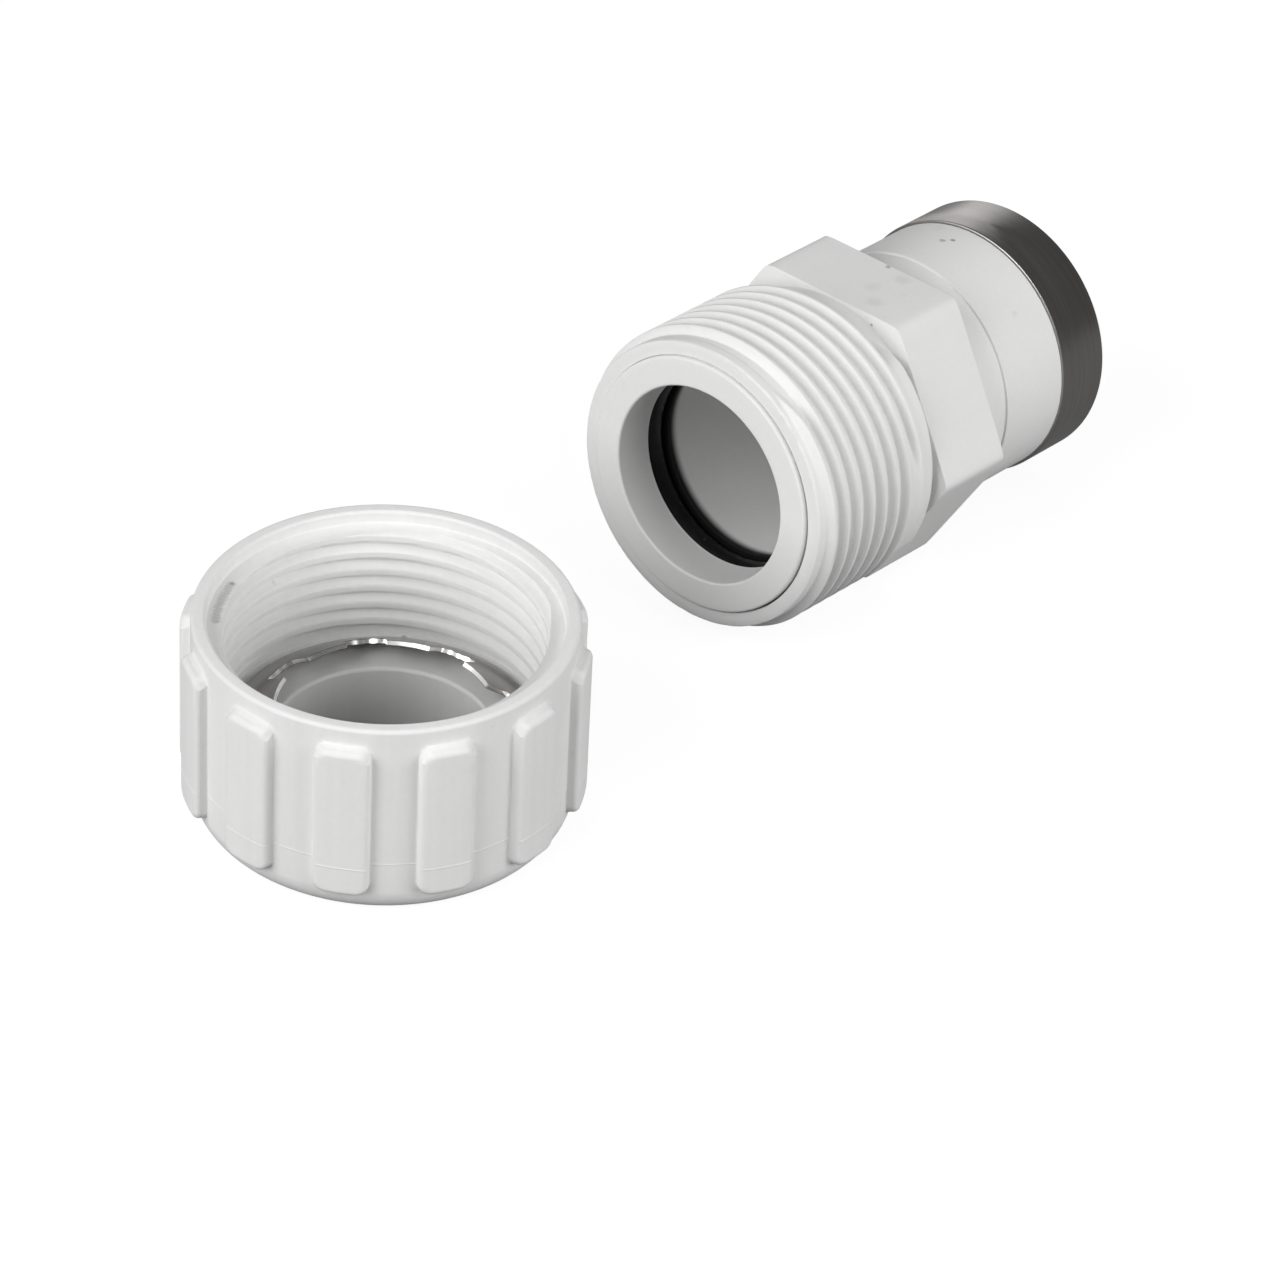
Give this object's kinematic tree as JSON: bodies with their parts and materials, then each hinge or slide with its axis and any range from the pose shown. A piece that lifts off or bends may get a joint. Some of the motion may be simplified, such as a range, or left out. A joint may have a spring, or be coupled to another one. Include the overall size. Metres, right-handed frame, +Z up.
{
  "type": "pipe compression adapter with coupling nut",
  "caption": "Plastic compression adapter lying on its side, with a threaded mouth, a hexagon and a banded female port, and its ribbed coupling nut standing beside it.",
  "frame": {"origin": "under the middle of the two pieces as they stand on a floor, at floor height", "axes": "+X runs along the adapter from its mouth towards its rear port, seen from above; +Z is up"},
  "size_m": [0.145, 0.0512, 0.0426],
  "materials": {
    "body_plastic": "satin moulded",
    "nut_plastic": "satin moulded",
    "retainer_plastic": "satin moulded",
    "seal_rubber": "smooth",
    "band_steel": "brushed round",
    "grip_steel": "bright sheet"
  },
  "bodies": {
    "root": {"adapter_body": "body_plastic", "seal_retainer": "retainer_plastic", "o_ring": "seal_rubber", "reinforcing_band": "band_steel", "coupling_nut": "nut_plastic", "grip_ring": "grip_steel"}
  },
  "joints": []
}
